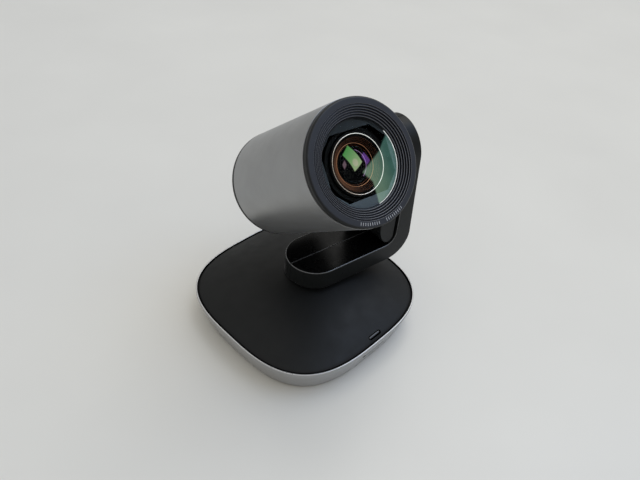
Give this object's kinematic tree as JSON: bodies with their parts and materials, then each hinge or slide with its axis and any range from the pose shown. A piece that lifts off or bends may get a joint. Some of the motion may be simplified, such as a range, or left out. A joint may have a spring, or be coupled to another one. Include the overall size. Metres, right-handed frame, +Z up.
{
  "type": "ptz camera",
  "caption": "Desk-top pan, tilt and zoom camera: a lens barrel on an L-shaped motorised arm over a rounded square base.",
  "frame": {"origin": "centre of the base's underside, on the pan axis, at the level of the desk", "axes": "+Z up along the pan axis; the base's front, with the infrared window, faces -Y; the arm stands on the +X side. At rest the head is panned 9.5 degrees to the camera's right (clockwise from above) and tilted 37.1 degrees up."},
  "size_m": [0.1344, 0.13, 0.1662],
  "materials": {
    "silver_shell": "satin metallic paint with a fine grain",
    "charcoal_plastic": "fine matt moulded texture",
    "slate_plastic": "satin moulded plastic",
    "black_plastic": "matt black moulded plastic",
    "silicone_rubber": "matt",
    "steel_parts": "plain zinc plate",
    "brass_parts": "turned",
    "nylon_gear": "natural moulded nylon",
    "circuit_board": "green solder mask",
    "lens_glass": "polished, green and purple coating",
    "ir_filter": "dark polished filter plastic",
    "bronze_ring": "warm anodised ring",
    "aluminium_sink": "extruded, black anodised",
    "lens_ring_metal": "bright turned edge"
  },
  "bodies": {
    "base": {"base_skirt": "silver_shell", "base_cover": "charcoal_plastic", "base_plate": "charcoal_plastic", "base_pad": "silicone_rubber", "tripod_insert": "brass_parts", "base_screw_1": "steel_parts", "base_screw_2": "steel_parts", "base_screw_3": "steel_parts", "base_screw_4": "steel_parts", "ir_window": "ir_filter", "ir_receiver": "black_plastic", "base_board": "circuit_board", "rear_port_panel": "black_plastic", "dc_jack": "black_plastic", "control_port": "black_plastic", "usb_port": "steel_parts", "pan_bridge": "steel_parts", "pan_bush": "brass_parts", "pan_motor": "steel_parts"},
    "pan_pinion_shaft": {"pan_pinion": "brass_parts"},
    "arm": {"pan_hub": "black_plastic", "pan_gear": "nylon_gear", "arm_front_shell": "charcoal_plastic", "arm_rear_shell": "charcoal_plastic", "arm_frame": "steel_parts", "tilt_drive_housing": "charcoal_plastic", "tilt_drive_plate": "steel_parts", "tilt_motor": "steel_parts", "tilt_bush": "brass_parts"},
    "tilt_pinion_shaft": {"tilt_pinion": "brass_parts"},
    "head": {"tilt_hub": "charcoal_plastic", "tilt_gear": "nylon_gear", "tilt_hub_nut": "steel_parts", "barrel_shell": "silver_shell", "rear_cap": "charcoal_plastic", "front_bezel": "slate_plastic", "front_window": "lens_glass", "lens_baffle": "black_plastic", "retaining_ring": "lens_ring_metal", "front_element": "lens_glass", "aperture_ring": "bronze_ring", "lens_housing": "black_plastic", "lens_mount": "black_plastic", "guide_rod_1": "steel_parts", "guide_rod_2": "steel_parts", "zoom_motor": "steel_parts", "focus_motor": "steel_parts", "image_sensor": "black_plastic", "sensor_board": "circuit_board", "main_board": "circuit_board", "heat_sink": "aluminium_sink"},
    "zoom_group": {"zoom_carriage": "black_plastic", "zoom_lens": "lens_glass"},
    "zoom_lead_screw": {"zoom_screw": "brass_parts"},
    "focus_group": {"focus_carriage": "black_plastic", "focus_lens": "lens_glass"},
    "focus_lead_screw": {"focus_screw": "brass_parts"}
  },
  "joints": [
    {"name": "pan", "type": "hinge", "parent": "base", "child": "arm", "pos_m": [0, 0, 0.0352], "axis": [0, 0, 1], "range_deg": [-120.5, 139.5]},
    {"name": "tilt", "type": "hinge", "parent": "arm", "child": "head", "pos_m": [-0.00063, -0.00375, 0.1115], "axis": [-0.9863, 0.165, 0], "range_deg": [-77.1, 52.9]},
    {"name": "pan_pinion_spin", "type": "hinge", "parent": "base", "child": "pan_pinion_shaft", "pos_m": [-0.025, 0, 0.016], "axis": [0, 0, 1], "continuous": true},
    {"name": "tilt_pinion_spin", "type": "hinge", "parent": "arm", "child": "tilt_pinion_shaft", "pos_m": [0.04701, -0.01172, 0.0935], "axis": [-0.9863, 0.165, 0], "continuous": true},
    {"name": "zoom", "type": "slide", "parent": "head", "child": "zoom_group", "axis": [-0.1316, -0.7866, 0.6032], "range_m": [-0.01, 0.01]},
    {"name": "focus", "type": "slide", "parent": "head", "child": "focus_group", "axis": [-0.1316, -0.7866, 0.6032], "range_m": [-0.008, 0.004]},
    {"name": "zoom_screw_spin", "type": "hinge", "parent": "head", "child": "zoom_lead_screw", "pos_m": [0.00077, 0.00458, 0.12267], "axis": [-0.1316, -0.7866, 0.6032], "continuous": true},
    {"name": "focus_screw_spin", "type": "hinge", "parent": "head", "child": "focus_lead_screw", "pos_m": [-0.00202, -0.01208, 0.10033], "axis": [-0.1316, -0.7866, 0.6032], "continuous": true}
  ],
  "couplings": [
    {"joint": "pan_pinion_spin", "follows": "pan", "ratio": -5.25},
    {"joint": "tilt_pinion_spin", "follows": "tilt", "ratio": -3.5},
    {"joint": "zoom_screw_spin", "follows": "zoom", "rad_per_m": 1570.8},
    {"joint": "focus_screw_spin", "follows": "focus", "rad_per_m": 1570.8}
  ]
}
